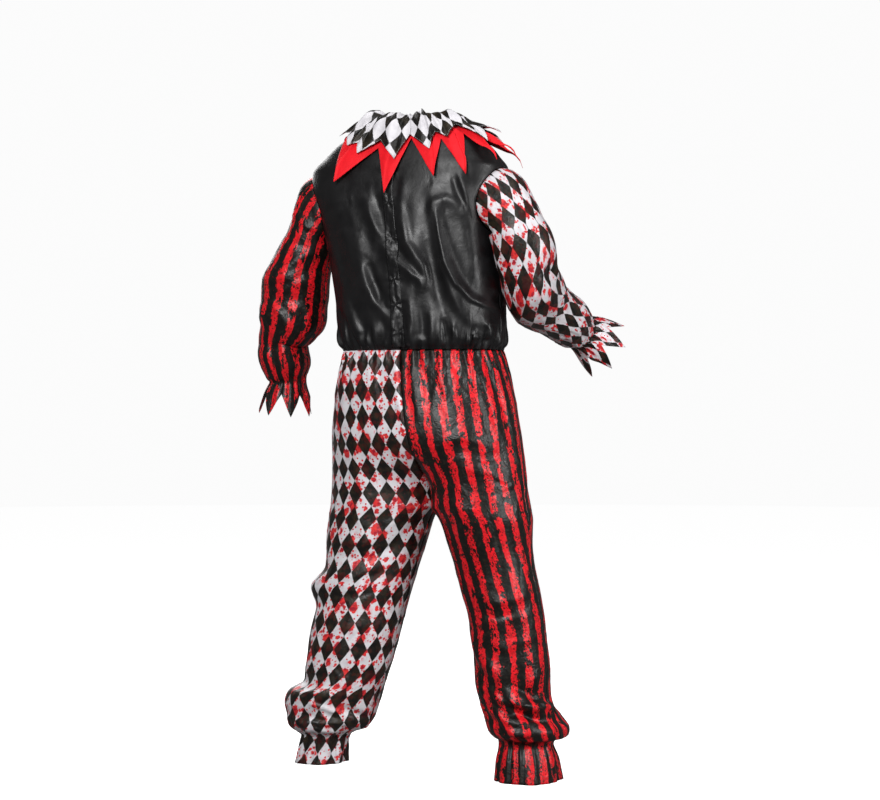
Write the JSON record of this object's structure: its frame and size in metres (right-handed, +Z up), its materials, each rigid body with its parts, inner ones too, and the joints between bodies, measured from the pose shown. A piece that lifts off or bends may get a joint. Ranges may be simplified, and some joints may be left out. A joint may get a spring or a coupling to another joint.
{
  "type": "worn evil clown costume",
  "caption": "Worn one-piece clown costume: black satin bodice, striped and harlequin sleeves and legs swapped side to side, gathered waist, wrists and ankles, and a pointed two-tier collar.",
  "frame": {"origin": "centre of the neck opening, level with its back edge, where the garment hangs from the wearer's shoulders", "axes": "+Z up, +X towards the wearer's left, the wearer faces -Y, so the back with its closure faces +Y"},
  "size_m": [0.7794, 0.5051, 1.4478],
  "materials": {
    "black_satin": "shiny polyester satin with soft wide highlights",
    "striped_satin": "satin printed with worn red and black stripes",
    "harlequin_satin": "satin printed with black and white diamonds and red spatter",
    "red_cloth": "plain bright red cloth, slightly shiny",
    "harlequin_check": "satin printed with black and white diamonds"
  },
  "bodies": {
    "root": {"back_left": "black_satin", "back_right": "black_satin", "front": "black_satin", "back_placket": "black_satin", "leg_left_back": "harlequin_satin", "leg_left_front": "harlequin_satin", "leg_right_back": "striped_satin", "leg_right_front": "striped_satin", "sleeve_left": "striped_satin", "sleeve_right": "harlequin_satin", "collar_under": "red_cloth", "collar_over": "harlequin_check"}
  },
  "joints": []
}
